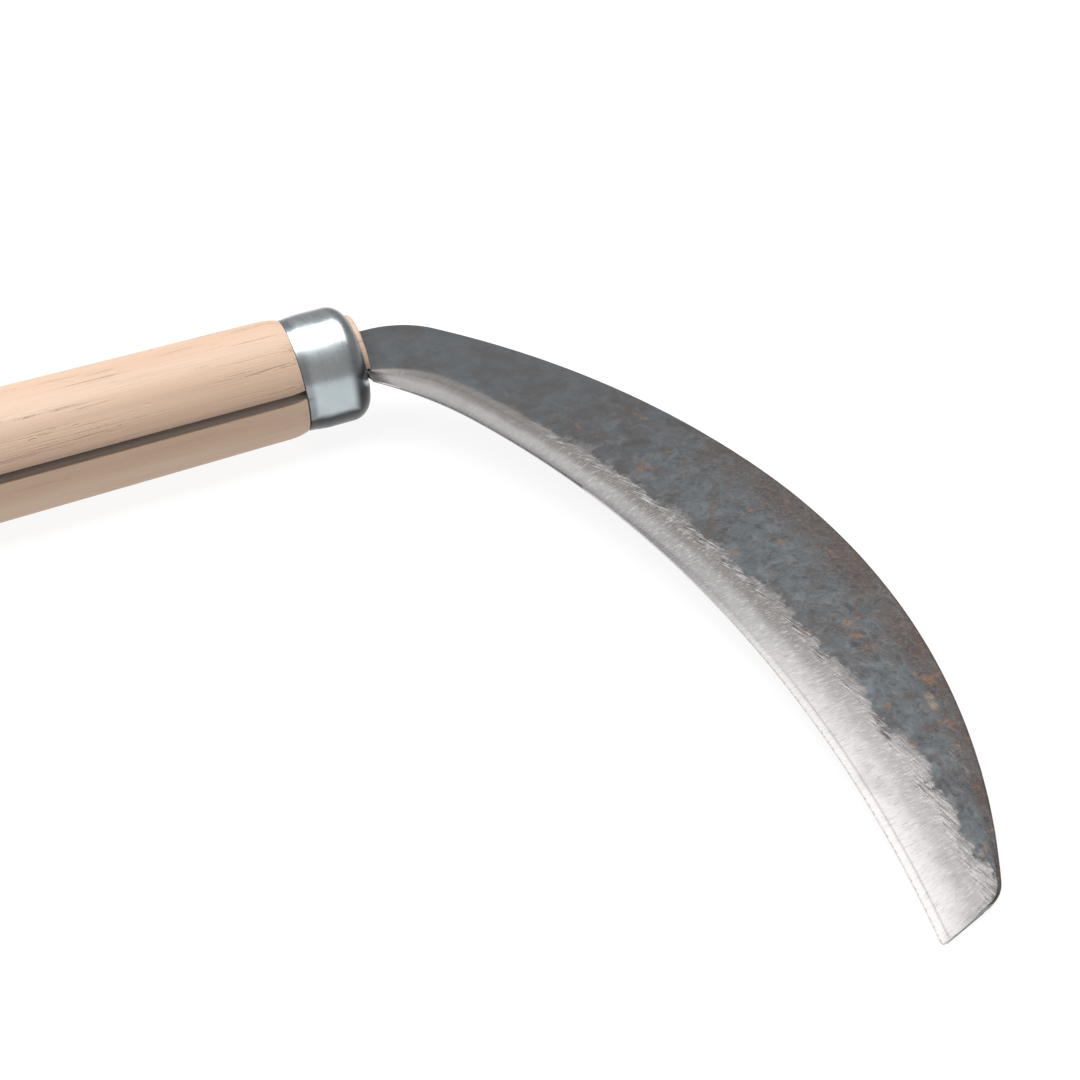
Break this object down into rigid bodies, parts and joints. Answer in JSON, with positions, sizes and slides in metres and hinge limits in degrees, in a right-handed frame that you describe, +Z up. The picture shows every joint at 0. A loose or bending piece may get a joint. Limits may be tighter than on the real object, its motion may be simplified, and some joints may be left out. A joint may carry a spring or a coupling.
{
  "type": "hand sickle",
  "caption": "Kama-type hand sickle: crescent blade with ground bevel and black scale, tang in a kerfed wooden handle, pressed steel ferrule.",
  "frame": {"origin": "centre of the handle's flat butt face", "axes": "+X along the handle towards the blade, +Z up with the sickle lying on its side and its ground bevel up, the blade sweeps towards -Y"},
  "size_m": [0.4263, 0.2293, 0.032],
  "materials": {
    "handle_wood": "planed and sanded, unvarnished",
    "ferrule_steel": "zinc-bright pressed sheet, satin",
    "forged_iron": "black forge scale with light rust, ground bevel",
    "ground_steel": "ground across the edge"
  },
  "bodies": {
    "root": {"handle": "handle_wood", "ferrule": "ferrule_steel", "blade": "forged_iron", "edge_steel": "ground_steel"}
  },
  "joints": []
}
